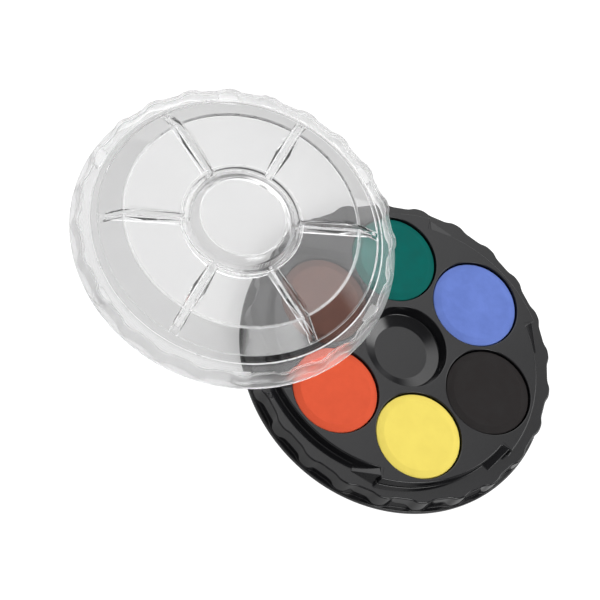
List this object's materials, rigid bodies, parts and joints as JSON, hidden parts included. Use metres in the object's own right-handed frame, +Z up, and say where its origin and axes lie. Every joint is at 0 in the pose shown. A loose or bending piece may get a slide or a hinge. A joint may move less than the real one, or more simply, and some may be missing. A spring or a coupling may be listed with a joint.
{
  "type": "watercolour paint box",
  "caption": "Round watercolour paint box: a black tray of paint tablets round a mixing well, with its clear domed lid taken off and leaning on the tray.",
  "frame": {"origin": "on the table, under the middle of the whole arrangement of tray and leaning lid", "axes": "+X from the lid towards the tray, +Z up from the table, +Y across"},
  "size_m": [0.1344, 0.0836, 0.021],
  "materials": {
    "black_plastic": "moulded satin gloss with fine surface wear",
    "clear_plastic": "clear moulded plastic, polished",
    "paint_black": "pressed paint cake, chalky matte",
    "paint_blue": "pressed paint cake, chalky matte",
    "paint_green": "pressed paint cake, chalky matte",
    "paint_brown": "pressed paint cake, chalky matte",
    "paint_red": "pressed paint cake, chalky matte",
    "paint_yellow": "pressed paint cake, chalky matte"
  },
  "bodies": {
    "tray": {"tray": "black_plastic", "tablet_black": "paint_black", "tablet_blue": "paint_blue", "tablet_green": "paint_green", "tablet_brown": "paint_brown", "tablet_red": "paint_red", "tablet_yellow": "paint_yellow"},
    "lid": {"lid": "clear_plastic"}
  },
  "joints": [
    {"name": "lid_lift", "type": "slide", "parent": "tray", "child": "lid", "axis": [0, 0, 1], "range_m": [0, 0.06]}
  ]
}
